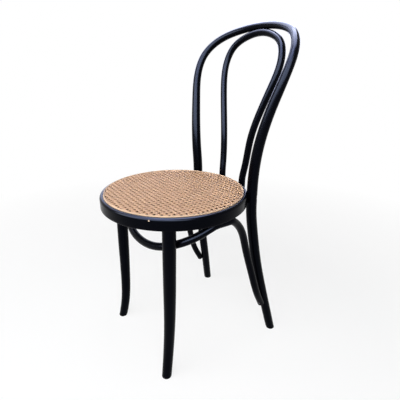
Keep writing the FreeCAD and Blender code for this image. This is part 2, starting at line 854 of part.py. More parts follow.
def make_bolts(start, inward):
    """Coach bolts and nuts that hold the rear legs to the ring."""
    bolts = []
    nuts = []
    for side, sign in SIDES.items():
        way = Vector(sign * inward.x, inward.y, inward.z)
        there = Vector(sign * start.x, start.y, start.z)
        head = primitive(
            "Cone",
            f"bolt_head_{side}",
            Radius1="sizes.bolt_crown_radius",
            Radius2="sizes.bolt_head_radius",
            Height="sizes.bolt_head_height",
            Placement_Base_z="-sizes.bolt_head_height",
        )
        shank = primitive(
            "Cylinder",
            f"bolt_shank_{side}",
            Radius="sizes.bolt_radius",
            Height="sizes.bolt_length",
        )
        bolt = fuse(f"bolt_{side}", head, shank)
        bolt.Placement = aim(there, way)
        bolts.append(bolt)
        prism = primitive(
            "Prism",
            f"prism_{side}",
            Circumradius="sizes.nut_radius",
            Height="sizes.nut_height",
        )
        prism.Polygon = 6
        thread = primitive(
            "Cylinder",
            f"thread_{side}",
            Radius="sizes.bolt_hole_radius",
            Height="sizes.nut_height",
        )
        nut = cut(f"nut_{side}", prism, thread)
        nut.Placement = aim(there + way * size("bolt_grip"), way)
        nuts.append(nut)
    return [group("frame_bolts", bolts), group("frame_nuts", nuts)]


def make_chair():
    frame = frame_sections()
    mid_ring = size("ring_bottom") + size("bolt_height")
    places = {
        "brace_rear_screws": (*brace_on_frame(), "brace_radius", "leg_screw_length"),
        "brace_front_screws": (*brace_on_front_leg(), "brace_radius", "leg_screw_length"),
        "brace_seat_screws": (brace_under_ring(), UP, "brace_radius", "seat_screw_length"),
        "hoop_end_screws": (
            meeting_point("hoop") + UP * mid_ring,
            around_seat(1, size("hoop_angle"), 0) * -1,
            "hoop_seat_radius",
            "end_screw_length",
        ),
        "hoop_top_screw": (hoop_crown(), bow_lean(), "hoop_brow_radius", "top_screw_length"),
    }
    screw_head = (size("screw_head_radius"), size("screw_head_height"), size("screw_radius"))
    bolt_head = (size("bolt_head_radius"), 0, size("bolt_radius"))
    rooms = {}
    pieces = []
    for name, (centre, direction, radius, length) in places.items():
        start = head_point(centre, direction, size(radius))
        rooms[name] = stepped_room(start, direction, *screw_head, size(length))
        if name == "hoop_top_screw":
            pieces.append(group(name, [screw("top_screw", length, start, direction)]))
        else:
            pieces.append(screw_pair(name, length, start, direction))
    inward = around_seat(1, size("frame_angle"), 0) * -1
    head = meeting_point("frame") + UP * mid_ring - inward * (size("frame_seat_radius") - size("bolt_sink"))
    rooms["frame_bolts"] = stepped_room(head, inward, *bolt_head, size("bolt_length"))
    pieces += make_bolts(head, inward)
    pieces.append(make_seat_ring())
    pieces.append(make_cane_panel())
    pieces.append(make_cane_spline())
    for side, sign in SIDES.items():
        pieces.append(make_front_leg(side, sign))
    pieces.append(make_back_frame(frame, rooms))
    pieces.append(make_inner_hoop(hoop_sections(), rooms))
    pieces.append(make_leg_brace(brace_sections(), rooms))
    return pieces


def check(pieces):
    """Stop if an object failed to compute or a piece's shape isn't sound."""
    for item in doc.Objects:
        if "Invalid" in item.State or "Error" in item.State:
            raise RuntimeError(f"{item.Label} failed: {item.State}")
    for piece in pieces:
        if piece.Shape.isNull() or not piece.Shape.isValid():
            raise RuntimeError(f"{piece.Label} has no valid shape")
        volume = sum(solid.Volume for solid in piece.Shape.Solids)
        print(f"{piece.Label}: {len(piece.Shape.Solids)} solids, {volume:.0f} cubic mm")


fill_sheet()
chair = make_chair()
doc.recompute()
check(chair)
os.makedirs("parts", exist_ok=True)
for piece in chair:
    piece.Shape.exportStep(f"parts/{piece.Label}.step")
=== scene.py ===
import math

import bpy
import numpy as np
from mathutils import Euler, Matrix, Vector


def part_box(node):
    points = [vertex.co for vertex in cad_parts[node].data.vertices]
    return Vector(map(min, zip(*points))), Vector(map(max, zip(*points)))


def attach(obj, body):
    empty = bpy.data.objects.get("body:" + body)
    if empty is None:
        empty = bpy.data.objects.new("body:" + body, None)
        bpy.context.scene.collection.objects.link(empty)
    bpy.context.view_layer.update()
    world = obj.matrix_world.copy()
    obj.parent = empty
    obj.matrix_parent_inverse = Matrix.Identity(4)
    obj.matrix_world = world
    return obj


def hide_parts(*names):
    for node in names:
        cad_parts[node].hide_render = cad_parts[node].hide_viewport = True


# Looks of the bentwood chair. Lengths are in millimetres until a mesh is made, which is in metres.
# Materials, floor, lamps and the camera's place are in metres throughout. The camera's lens and
# film are in millimetres and its shift is in widths of the picture.
# +Z is up, -Y the front and +X the sitter's left. Places of bent rods are on the sitter's left;
# the right half is the mirror image.

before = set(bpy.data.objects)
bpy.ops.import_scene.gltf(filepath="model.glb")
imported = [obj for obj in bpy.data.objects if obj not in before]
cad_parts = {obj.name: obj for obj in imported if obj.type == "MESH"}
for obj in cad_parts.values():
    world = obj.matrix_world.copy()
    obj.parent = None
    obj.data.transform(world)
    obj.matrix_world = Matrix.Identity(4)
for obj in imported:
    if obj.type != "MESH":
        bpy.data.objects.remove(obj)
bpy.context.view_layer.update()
MM = 0.001

# Places taken from the frame
RING_LOW, RING_HIGH = (np.array(corner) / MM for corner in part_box("seat_ring"))
SEAT_RADIUS = (RING_HIGH[0] - RING_LOW[0]) / 2
SEAT_CENTRE = (RING_HIGH[:2] + RING_LOW[:2]) / 2
RING_TOP = RING_HIGH[2]
RING_BOTTOM = RING_LOW[2]
REED_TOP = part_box("cane_spline")[1][2] / MM

# Seat ring
RING_WIDTH = 39
RIM_WIDTH = 9.5
GROOVE_WIDTH = 6.5
GROOVE_DEPTH = 8
RING_INNER = SEAT_RADIUS - RING_WIDTH
GROOVE_OUTER = SEAT_RADIUS - RIM_WIDTH
GROOVE_INNER = GROOVE_OUTER - GROOVE_WIDTH
TOP_ROUND = 7
BOTTOM_ROUND = 2.24
INNER_BOTTOM_ROUND = 1.4
EDGE_ROUND = 0.5
WALL_LOW = RING_BOTTOM + 9
WALL_HIGH = RING_TOP - TOP_ROUND - 6
RING_SIDES = 300

# Lathed pieces: the radius at which their grain has its true length
GRAIN_RADIUS = 180

# Reed: its foot and shoulder lie below and above the ring's top, its crown above the CAD reed's.
# The curves are powers that make the crown fuller than half an ellipse. A wave has a height, a
# number around the seat and a start.
REED_INNER = 186.8
REED_OUTER = 190.3
REED_FOOT = 6
REED_SHOULDER = 0.6
REED_CROWN = 0.35
REED_SIDE_CURVE = 0.8
REED_TOP_CURVE = 0.75
REED_CROWN_POINTS = 13
REED_SWELL = ((0.12, 5, 1), (0.08, 13, 0))
REED_WANDER = ((0.1, 4, 2),)
REED_SEAM_DEGREES = 0.08
REED_SIDES = 361

# Stations of the bent rods: place and radius
BRACE_RADIUS = 10.2
REAR_LEG = [
    (173.0, 189.1, 0.0, 12.9),
    (155.0, 161.6, 130.0, 13.7),
    (142.0, 138.6, 243.0, 14.3),
    (133.8, 125.6, 335.0, 14.8),
    (132.2, 114.9, RING_BOTTOM, 14.8),
]
BOW = [
    (132.2, 114.9, RING_TOP, 14.8),
    (137.8, 114.1, 540.0, 14.4),
    (149.3, 119.1, 614.0, 13.7),
    (168.0, 132.6, 695.0, 12.7),
    (186.6, 155.6, 778.0, 11.4),
    (183.4, 175.1, 819.5, 10.8),
    (162.8, 196.6, 850.3, 10.4),
    (84.5, 231.4, 883.6, 10.0),
    (0.0, 242.1, 891.5, 9.8),
]
HOOP_END = (47.0, 151.7, RING_BOTTOM + 2, 10.0)
HOOP = [
    (47.0, 151.7, RING_TOP, 10.0),
    (50.6, 156.5, 507.0, 10.0),
    (60.7, 164.9, 593.0, 9.9),
    (82.5, 178.1, 675.0, 9.8),
    (101.4, 191.3, 734.0, 9.8),
    (111.8, 208.4, 797.0, 9.7),
    (97.0, 221.1, 838.0, 9.7),
    (52.5, 232.7, 865.2, 9.6),
    (0.0, 236.4, 874.0, 9.6),
]
FRONT_LEG = [
    (150.0, -176.6, 0.0, 12.9),
    (146.0, -170.4, 35.0, 13.3),
    (143.2, -163.9, 85.0, 13.8),
    (143.9, -159.9, 145.0, 14.5),
    (145.5, -156.5, 260.0, 16.0),
    (144.7, -153.4, 376.0, 16.6),
    (142.1, -150.6, RING_BOTTOM, 16.8),
]
BRACE_RISE = [
    (165.0, 144.5, 112.0, BRACE_RADIUS),
    (167.1, 126.5, 148.0, BRACE_RADIUS),
    (162.6, 101.6, 228.0, BRACE_RADIUS),
    (160.6, 74.5, 319.0, BRACE_RADIUS),
    (167.1, 52.7, 374.5, BRACE_RADIUS),
    (177.6, 16.0, 417.0, BRACE_RADIUS),
    (181.35, -2.0, 424.8, BRACE_RADIUS),
]
BRACE_FALL = [
    (181.35, -34.0, 424.8, BRACE_RADIUS),
    (171.6, -79.6, 406.4, BRACE_RADIUS),
    (132.05, -131.5, 376.0, BRACE_RADIUS),
    (89.1, -152.4, 358.6, BRACE_RADIUS),
    (0.0, -164.7, 346.8, BRACE_RADIUS),
]

# How the rods are made: distance between samples, rounding of the ends, and sides of a section.
# A level end's sections turn level over the reach, so that the end is flat.
THICK_STEP = 4.0
THIN_STEP = 3.5
SLOPE_PASSES = 60
TAPER_SAMPLES = 5
LEVEL_REACH = 40
FOOT_ROUND = 2.6
LEG_TOP_ROUND = 0.4
HOOP_END_ROUND = 1.0
BRACE_END_ROUND = 4.0
ROUND_STEPS = 7
END_ROOM = 1.5
ROD_SIDES = 44
LEG_SIDES = 48
SHARP_DEGREES = 38

# Screws and bolts: a place on the rod's centre line and the way that the screw goes in.
# A room is the radius and depth of a counterbore.
SCREW_SINK = 1.2
SCREW_ROOM = (4.1, 2.4)
REAR_SCREW = ((165.0, 144.4, 112.0), (-0.342, 0.940, 0.0))
LEG_SCREW = ((132.05, -131.5, 376.0), (0.5, -0.866, 0.0))
SEAT_SCREW = ((181.35, -17.96, 424.8), (0.0, 0.0, 1.0))
HOOP_SCREW = ((47.0, 151.7, 449.25), (-0.225, -0.974, 0.0))
TOP_SCREW = ((0.0, 236.4, 874.0), (0.0, 0.307, 0.952))
BOLT = ((132.2, 114.9, 449.25), (-0.621, -0.784, 0.0))
BOLT_SINK = 3.4
BOLT_ROOM = (7.1, 0)
BORE_SIDES = 40
BORE_REACH = 16

UP = np.array([0.0, 0.0, 1.0])
ACROSS = np.array([-1.0, 0.0, 0.0])
FORWARD = np.array([0.0, -1.0, 0.0])
OFF_AXIS = np.array([0.6, 0.8, 0.1])

# Woven cane. Places are measured from the seat's centre. The weave repeats with the pitch, both
# ways. It has a hole at HOLE and the middle of two crossing pairs of strands at CROSSING. A
# section of a strand is given in widths and thicknesses, and its points by how much painted
# shade they take next to a hole.
PITCH = 12.55
HOLE = np.array([2.7, -2.6])
CROSSING = HOLE + PITCH / 2
# Painted shade around each hole: flanks within this reach of its middle turn near-black, fading out over
# the last stretch.
HOLE_SHADE_RADIUS = 3.75
HOLE_SHADE_FADE = 0.6
PAIR_SPACE = 1.75
STRAND_WIDTH = 2.9
STRAND_THICKNESS = 1.6
STRAND_SECTION = np.array([(-0.44, -1.3), (-0.5, 0.1), (0, 0.5), (0.5, 0.1), (0.44, -1.3)])
SECTION_HOLE_SHADE = np.array([1, 0.8, 0, 0.8, 1])
STRAND_WANDER = 0.1
WANDER_LENGTH = (18, 40)
WANDER_START = (0, 6)
WIDTH_CHANGE = (-0.04, 0.04)
FIBRE_START = (0, 900)
STRAND_SHARP_DEGREES = 60

# How far a strand stays inside the cane's edge, and a section inside a strand's end
STRAND_MARGIN = 1.5
MARK_MARGIN = 0.3

# The slanted strands swing up and down by WEAVE_RISE. The pairs swing by CROSSING_RISE where they
# cross, fade over CROSSING_FADE from there, and have their last section at CROSSING_END.
WEAVE_RISE = 1.2
CROSSING_RISE = 0.6
CROSSING_FADE = 2.6
CROSSING_END = 4.3

# The cane is pressed to a share of its thickness at its edge, and dips inside the ring. The dip
# starts a little way onto the ring and is full after its reach.
CANE_EDGE = 187.4
CANE_PRESSED_FROM = 174.0
CANE_PRESSED = 0.45
CANE_DIP = 1.7
DIP_FROM = 4
DIP_REACH = 30

# Colours and surfaces
WHITE = (1, 1, 1, 1)
LACQUER_DARK = (0.0004, 0.0004, 0.0009)
LACQUER_LIGHT = (0.0007, 0.0007, 0.0014)
LACQUER_GLOSS = (0.6, 0.7, 1.0, 1.0)
WOOD_DARK = (0.5, 0.36, 0.24)
WOOD_LIGHT = (0.68, 0.53, 0.38)
CANE_LIGHT = (0.68, 0.43, 0.24)
CANE_DARK = (0.51, 0.31, 0.165)
# Lower flanks of a strand: partly the duller cut side of the cane, partly painted shade.
CANE_FLANK_AND_SHADE = (0.3, 0.16, 0.09, 1)
# Painted shade: the near-black colour of the flanks in the weave's holes.
CANE_HOLE_SHADE = (0.035, 0.014, 0.008, 1)
REED_LIGHT = (0.74, 0.53, 0.35)
REED_DARK = (0.58, 0.4, 0.26)
FIBRE_GAP = (0.62, 0.52, 0.42)
WOOD_ROUGHNESS = 0.7
STAIN_SHADE = 0.55
BLACK_STEEL = (0.03, 0.03, 0.034)
BARE_STEEL = (0.55, 0.55, 0.54)
FLOOR_GREY = (0.95, 0.95, 0.95, 1)
WORLD_GREY = (0.06, 0.06, 0.06, 1)
SOFT_LIGHT = (0.97, 0.98, 1.0)
FRONT_CARD_LIGHT = (0.88, 0.93, 1.0)
HIGH_CARD_LIGHT = (0.7, 0.75, 1.0)
HIGH_BACK_CARD_LIGHT = (0.66, 0.72, 1.0)
BACK_CARD_LIGHT = (0.56, 0.64, 1.0)

# Chip in the ring's lacquer: bare wood up to the reach, which a noise makes ragged
CHIP_PLACE = (0.1366, -0.198, 0.4588)
CHIP_REACH = 0.003
CHIP_BORDER = 0.0003

# Floor, lamps and camera. The floor glows in part near the chair, where it also takes the
# shadow, and alone further out. The camera's turn is in degrees about X, Y and Z.
FLOOR_REACH = 4
FLOOR_DROP = 0.0004
GLOW_PART = 0.8
GLOW_FROM = 0.6
GLOW_ALONE_FROM = 1.7
FRONT_AZIMUTHS = (-106, -79, -52, -25)
LAMP_CENTRE = (0, 0, 0.5)
CAMERA_PLACE = (0.770793, -0.493097, 0.773423)
CAMERA_TURN = (69.551, -0.366, 55.059)
CAMERA_LENS = 30.523
CAMERA_FILM = 36
CAMERA_CLIP = 0.01
CAMERA_SHIFT = (-0.0105, -0.0077)


# Meshes


def unit(way):
    way = np.array(way, float)
    return way / np.linalg.norm(way)


def full_turn(steps):
    return np.linspace(0, 2 * math.pi, steps, endpoint=False)


def new_piece(name, points, faces, material, sharp=SHARP_DEGREES, **attributes):
    """A smooth-shaded object from points in millimetres, with named values on its points."""
    mesh = bpy.data.meshes.new(name)
    mesh.from_pydata((np.asarray(points) * MM).tolist(), [], faces)
    mesh.polygons.foreach_set("use_smooth", [True] * len(mesh.polygons))
    for label, values in attributes.items():
        values = np.asarray(values, float)
        if values.ndim == 1:
            layer = mesh.attributes.new(label, "FLOAT", "POINT")
            layer.data.foreach_set("value", values)
        else:
            layer = mesh.attributes.new(label, "FLOAT_VECTOR", "POINT")
            layer.data.foreach_set("vector", values.ravel())
    mesh.materials.append(material)
    mesh.update()
    mesh.set_sharp_from_angle(angle=math.radians(sharp))
    piece = bpy.data.objects.new(name, mesh)
    bpy.context.scene.collection.objects.link(piece)
    return piece


def stands_for(piece, slot, *nodes):
    """Fix a piece to the chair, in place of those nodes."""
    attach(piece, "root")
    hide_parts(*nodes)


def ring_faces(rings, around, closed=False, start=0):
    """Quads between rings of points that follow each other."""
    faces = []
    last = rings if closed else rings - 1
    for ring in range(last):
        low = start + ring * around
        high = start + (ring + 1) % rings * around
        for index in range(around):
            after = (index + 1) % around
            faces.append((low + index, low + after, high + after, high + index))
    return faces


def end_faces(rings, around):
    """The faces that close the first and the last ring."""
    last = (rings - 1) * around
    return [tuple(reversed(range(around))), tuple(range(last, last + around))]


# Bent rods


class CentreLine:
    """A smooth curve through a rod's stations, with both end directions given."""

    def __init__(self, stations, start, end):
        rows = np.array(stations, float)
        self.centres = rows[:, :3]
        self.radii = rows[:, 3]
        self.runs = np.linalg.norm(np.diff(self.centres, axis=0), axis=1)
        self.marks = np.concatenate([[0.0], np.cumsum(self.runs)])
        chords = np.diff(self.centres, axis=0) / self.runs[:, None]
        self.slopes = np.vstack([np.tile(start, (len(rows) - 1, 1)), end]).astype(float)
        for _ in range(SLOPE_PASSES):
            for number in range(1, len(rows) - 1):
                before, after = self.runs[number - 1], self.runs[number]
                pull = 3 * (chords[number - 1] * after + chords[number] * before)
                pull = pull - self.slopes[number - 1] * after - self.slopes[number + 1] * before
                self.slopes[number] = pull / (2 * (before + after))

    def sample(self, step):
        """Centres and radii about every step along the rod."""
        count = math.ceil(self.marks[-1] / step)
        marks = np.linspace(0, self.marks[-1], count + 1)
        number = np.clip(np.searchsorted(self.marks, marks, side="right") - 1, 0, len(self.runs) - 1)
        length = self.runs[number][:, None]
        share = (marks - self.marks[number])[:, None] / length
        rest = 1 - share
        low = self.centres[number] * (1 + 2 * share) + self.slopes[number] * (length * share)
        high = self.centres[number + 1] * (1 + 2 * rest) - self.slopes[number + 1] * (length * rest)
        radii = np.interp(marks, self.marks, self.radii)
        return np.column_stack([low * rest**2 + high * share**2, radii])


def first_way(stations):
    """The direction from a rod's first station to its second."""
    return unit(np.subtract(stations[1], stations[0])[:3])


def straight(start, end):
    """Samples of a straight stretch between two stations."""
    count = max(1, int(np.linalg.norm(np.subtract(end, start)[:3]) / THICK_STEP))
    return np.linspace(start, end, count + 1)


def join(*stretches):
    """Samples of stretches in a row, each of which starts where the one before ends."""
    return np.vstack([stretches[0]] + [stretch[1:] for stretch in stretches[1:]])


def mirrored(half):
    """A whole rod from its left half, which ends on the chair's middle plane."""
    other = half[::-1][1:].copy()
    other[:, 0] *= -1
    return np.vstack([half, other])


def smoothed(values, reach):
    """A running mean that keeps the ends."""
    padded = np.concatenate([np.full(reach, values[0]), values, np.full(reach, values[-1])])
    return np.convolve(padded, np.ones(2 * reach + 1) / (2 * reach + 1), mode="valid")


def rounding(radius):
    """How deep each ring of a rounded end lies and how far it is drawn in, from the tip on."""
    turns = [math.pi / 2 * step / ROUND_STEPS for step in range(ROUND_STEPS + 1)]
    return [(radius * (1 - math.cos(turn)), radius * (1 - math.sin(turn))) for turn in turns]


def rod(name, samples, material, start_round, end_round, level=False, around=ROD_SIDES):
    """A round rod along the samples, with rounded ends, which are cut level if asked."""
    centres = samples[:, :3]
    radii = smoothed(samples[:, 3], TAPER_SAMPLES)
    ways = np.gradient(centres, axis=0)
    ways /= np.linalg.norm(ways, axis=1)[:, None]
    along = np.concatenate([[0.0], np.cumsum(np.linalg.norm(np.diff(centres, axis=0), axis=1))])
    if level:
        for distance in (along, along[-1] - along):
            share = np.clip(1 - distance / LEVEL_REACH, 0, 1)[:, None]
            ways = ways * (1 - share) + UP * np.sign(ways[:, 2:3]) * share
            ways /= np.linalg.norm(ways, axis=1)[:, None]
    rows = []
    for depth, inset in rounding(start_round):
        rows.append((centres[0] + ways[0] * depth, ways[0], radii[0] - inset, depth))
    inside = (along > start_round + END_ROOM) & (along < along[-1] - end_round - END_ROOM)
    rows += zip(centres[inside], ways[inside], radii[inside], along[inside])
    for depth, inset in reversed(rounding(end_round)):
        rows.append((centres[-1] - ways[-1] * depth, ways[-1], radii[-1] - inset, along[-1] - depth))
    across = unit(np.cross(ways[0], OFF_AXIS))
    angles = full_turn(around)
    flat_circle = np.column_stack([np.cos(angles), np.sin(angles)])
    points = []
    grain = []
    for centre, way, radius, mark in rows:
        across = unit(across - way * across.dot(way))
        other = np.cross(way, across)
        circle = np.outer(np.cos(angles), across) + np.outer(np.sin(angles), other)
        points.append(centre + circle * radius)
        grain.append(np.column_stack([flat_circle * radius, np.full(around, mark)]))
    faces = ring_faces(len(rows), around) + end_faces(len(rows), around)
    return new_piece(name, np.vstack(points), faces, material, grain=np.vstack(grain) * MM)


def bore(piece, start, way, radius, depth):
    """Cut a counterbore into a piece, from outside it down to the depth."""
    middle = np.array(start) + unit(way) * (depth - BORE_REACH) / 2
    half = (BORE_REACH + depth) / 2
    angles = full_turn(BORE_SIDES)
    circle = np.column_stack([np.cos(angles), np.sin(angles)]) * radius
    points = [(x, y, height) for height in (-half, half) for x, y in circle]
    mesh = bpy.data.meshes.new("cutter")
    faces = ring_faces(2, BORE_SIDES) + end_faces(2, BORE_SIDES)
    mesh.from_pydata((np.array(points) * MM).tolist(), [], faces)
    cutter = bpy.data.objects.new("cutter", mesh)
    bpy.context.scene.collection.objects.link(cutter)
    turn = Vector((0, 0, 1)).rotation_difference(Vector(way)).to_matrix().to_4x4()
    cutter.matrix_world = Matrix.Translation(Vector(middle * MM)) @ turn
    modifier = piece.modifiers.new("bore", "BOOLEAN")
    modifier.object = cutter
    modifier.operation = "DIFFERENCE"
    modifier.solver = "EXACT"
    bpy.context.view_layer.update()
    with bpy.context.temp_override(object=piece, active_object=piece, selected_objects=[piece]):
        bpy.ops.object.modifier_apply(modifier=modifier.name)
    bpy.data.objects.remove(cutter)
    bpy.data.meshes.remove(mesh)
    piece.data.set_sharp_from_angle(angle=math.radians(SHARP_DEGREES))


def bore_both(piece, start, way, radius, depth):
    """The same counterbore on both sides of the chair."""
    for sign in (1, -1):
        flip = np.array([sign, 1, 1])
        bore(piece, np.array(start) * flip, np.array(way) * flip, radius, depth)


def head_place(centre, way, radius, sink):
    """Where a screw's or bolt's head starts: sunk into the rod, on the side where it goes in."""
    return np.array(centre) - unit(way) * (radius - sink)


# Lathed pieces


def lathe(name, profile, material, angles, closed=True, wobble=None):
    """A closed profile of radius and height turned about the seat's axis."""
    profile = np.array(profile, float)
    count = len(profile)
    points = []
    grain = []
    for angle in angles:
        shape = wobble(profile, angle) if wobble else profile
        x = SEAT_CENTRE[0] + shape[:, 0] * math.sin(angle)
        y = SEAT_CENTRE[1] + shape[:, 0] * math.cos(angle)
        points.append(np.column_stack([x, y, shape[:, 1]]))
        run = np.full(count, angle * GRAIN_RADIUS)
        grain.append(np.column_stack([shape[:, 0] - GRAIN_RADIUS, shape[:, 1], run]))
    faces = ring_faces(len(angles), count, closed)
    if not closed:
        faces += end_faces(len(angles), count)
    faces = [tuple(reversed(face)) for face in faces]
    return new_piece(name, np.vstack(points), faces, material, grain=np.vstack(grain) * MM)


def rounded_corner(x, height, radius, start, end, steps):
    """Points of a corner's arc about a place, by angles in degrees from the outward direction."""
    angles = np.radians(np.linspace(start, end, steps))
    return [(x + radius * math.cos(angle), height + radius * math.sin(angle)) for angle in angles]


def ring_profile():
    """The seat ring's section, round on its outer top edge, with the groove for the cane.

    The two points of the outer wall keep its shading flat between the rounds.
    """
    floor = RING_TOP - GROOVE_DEPTH
    top_edge = RING_TOP - EDGE_ROUND
    low, inner_low = RING_BOTTOM + BOTTOM_ROUND, RING_BOTTOM + INNER_BOTTOM_ROUND
    return [
        *rounded_corner(SEAT_RADIUS - BOTTOM_ROUND, low, BOTTOM_ROUND, -90, 0, 7),
        (SEAT_RADIUS, WALL_LOW),
        (SEAT_RADIUS, WALL_HIGH),
        *rounded_corner(SEAT_RADIUS - TOP_ROUND, RING_TOP - TOP_ROUND, TOP_ROUND, 0, 90, 17),
        *rounded_corner(GROOVE_OUTER + EDGE_ROUND, top_edge, EDGE_ROUND, 90, 180, 4),
        (GROOVE_OUTER, floor),
        (GROOVE_INNER, floor),
        (GROOVE_INNER, RING_TOP),
        *rounded_corner(RING_INNER + EDGE_ROUND, top_edge, EDGE_ROUND, 90, 180, 4),
        *rounded_corner(RING_INNER + INNER_BOTTOM_ROUND, inner_low, INNER_BOTTOM_ROUND, 180, 270, 6),
    ]


def reed_profile():
    """The reed's section: a flat strip with a low round crown."""
    middle = (REED_INNER + REED_OUTER) / 2
    half = (REED_OUTER - REED_INNER) / 2
    shoulder = RING_TOP + REED_SHOULDER
    rise = REED_TOP + REED_CROWN - shoulder
    profile = [(REED_INNER, RING_TOP - REED_FOOT), (REED_OUTER, RING_TOP - REED_FOOT)]
    for turn in np.radians(np.linspace(0, 180, REED_CROWN_POINTS)):
        reach = math.copysign(abs(math.cos(turn)) ** REED_SIDE_CURVE, math.cos(turn))
        profile.append((middle + half * reach, shoulder + rise * math.sin(turn) ** REED_TOP_CURVE))
    return profile


def wave_sum(waves, angle):
    return sum(height * math.sin(count * angle + start) for height, count, start in waves)


def reed_wobble(profile, angle):
    """Slight unevenness of the reed around the seat."""
    return profile + [wave_sum(REED_WANDER, angle), wave_sum(REED_SWELL, angle)]


# Woven cane

# Direction of the strands of each family and the direction in which they lie side by side
FAMILIES = {
    "lengthways": (unit([0, 1]), unit([1, 0])),
    "crossways": (unit([1, 0]), unit([0, 1])),
    "rising": (unit([1, 1]), unit([-1, 1])),
    "falling": (unit([1, -1]), unit([1, 1])),
}
SLANTED = ("rising", "falling")


def from_nearest(distances):
    """Signed distance from the nearest of the marks that repeat with the pitch."""
    return (distances + PITCH / 2) % PITCH - PITCH / 2


def weave_height(family, lattice):
    """Height of a strand's middle over the cane's middle plane, at places from a crossing."""
    x, y = lattice.T
    if family in SLANTED:
        wave = np.cos(2 * math.pi * x / PITCH)
        return WEAVE_RISE * wave * (1 if family == "rising" else -1)
    along, aside = (y, x[0]) if family == "lengthways" else (x, y[0])
    near = from_nearest(along)
    order = 1 if from_nearest(aside) > 0 else -1
    if family == "lengthways":
        order = -order
    swing = np.sin(np.clip(near / PAIR_SPACE, -1, 1) * math.pi / 2)
    fade = 0.5 + 0.5 * np.cos(np.clip((np.abs(near) - PAIR_SPACE) / CROSSING_FADE, 0, 1) * math.pi)
    return -CROSSING_RISE * order * swing * fade


def strand_offsets(family, normal):
    """How far from the seat's centre every strand of a family lies: in pairs, or one by one."""
    count = int(CANE_EDGE / PITCH) + 2
    if family in SLANTED:
        base = (CROSSING + np.array([PITCH / 2, 0])).dot(normal)
        numbers = range(-2 * count, 2 * count + 1)
        offsets = [base + number * PITCH / math.sqrt(2) for number in numbers]
    else:
        base = CROSSING.dot(normal)
        numbers = range(-count, count + 1)
        sides = (-PAIR_SPACE, PAIR_SPACE)
        offsets = [base + number * PITCH + side for number in numbers for side in sides]
    return [offset for offset in offsets if abs(offset) < CANE_EDGE - STRAND_MARGIN]


def strand_marks(family, way, normal, offset, reach):
    """Distances along a strand at which it has a section, where its weave turns."""
    count = int(reach / PITCH) + 2
    if family in SLANTED:
        step = PITCH / 4 / way[0]
        first = (HOLE[0] - normal[0] * offset) / way[0] % step
        marks = first + np.arange(-3 * count, 3 * count) * step
    else:
        near = np.array([-CROSSING_END, -PAIR_SPACE, PAIR_SPACE, CROSSING_END])
        crossings = CROSSING.dot(way) + np.arange(-count, count + 1) * PITCH
        marks = np.add.outer(crossings, near).ravel()
    marks = marks[np.abs(marks) < reach - MARK_MARGIN]
    return np.concatenate([[-reach], marks, [reach]])


def cane_level(flat, heights):
    """Height of a strand's middle at each place, and the share of its thickness that is left.

    The cane dips inside the ring and is pressed thin towards the groove.
    """
    distance = np.linalg.norm(flat, axis=1)
    pressed = np.clip((distance - CANE_PRESSED_FROM) / (CANE_EDGE - CANE_PRESSED_FROM), 0, 1)
    flatness = 1 - (1 - CANE_PRESSED) * pressed
    inward = np.clip((RING_INNER + DIP_FROM - distance) / DIP_REACH, 0, 1)
    dip = CANE_DIP * inward**2 * (3 - 2 * inward)
    half_height = WEAVE_RISE + STRAND_THICKNESS / 2
    return RING_TOP - dip + (half_height + heights) * flatness, flatness


def hole_side(places):
    """Painted shade by the weave's holes: 1 on the flanks that line a hole, 0 from a little further out.
    """
    away = np.linalg.norm(from_nearest(places - HOLE), axis=-1)
    return np.clip((HOLE_SHADE_RADIUS - away) / HOLE_SHADE_FADE, 0, 1)


def make_cane(material):
    """Every strand of the woven cane, lying over and under the others."""
    rng = np.random.default_rng(7)
    across = STRAND_SECTION[:, 0] * STRAND_WIDTH
    rise = STRAND_SECTION[:, 1] * STRAND_THICKNESS
    around = len(STRAND_SECTION)
    points = []
    faces = []
    fibre = []
    tone = []
    hole = []
    total = 0
    for family, (way, normal) in FAMILIES.items():
        for offset in strand_offsets(family, normal):
            reach = math.sqrt(CANE_EDGE**2 - offset**2)
            marks = strand_marks(family, way, normal, offset, reach)
            flat = np.outer(marks, way) + normal * offset
            heights = weave_height(family, flat - CROSSING)
            turns = marks / rng.uniform(*WANDER_LENGTH) + rng.uniform(*WANDER_START)
            flat = flat + np.outer(STRAND_WANDER * np.sin(turns), normal)
            middle, flatness = cane_level(flat, heights)
            width = 1 + rng.uniform(*WIDTH_CHANGE)
            places = flat[:, None] + np.outer(across * width, normal)
            levels = middle[:, None] + np.outer(flatness, rise)
            points.append(np.dstack([places, levels]).reshape(-1, 3))
            # Painted shade: how dark each point is coloured for lining a hole.
            hole.append((hole_side(places) * SECTION_HOLE_SHADE).ravel())
            lengths = np.repeat(marks + rng.uniform(*FIBRE_START), around)
            section = np.tile(np.column_stack([across, rise]), (len(marks), 1))
            fibre.append(np.column_stack([section, lengths]))
            tone.append(np.full(len(marks) * around, rng.uniform(0, 1)))
            faces += ring_faces(len(marks), around, start=total)
            total += len(marks) * around
    points = np.vstack(points)
    points[:, :2] += SEAT_CENTRE
    return new_piece(
        "woven_cane",
        points,
        faces,
        material,
        sharp=STRAND_SHARP_DEGREES,
        strand=np.vstack(fibre) * MM,
        tone=np.concatenate(tone),
        hole=np.concatenate(hole),
    )


# Materials


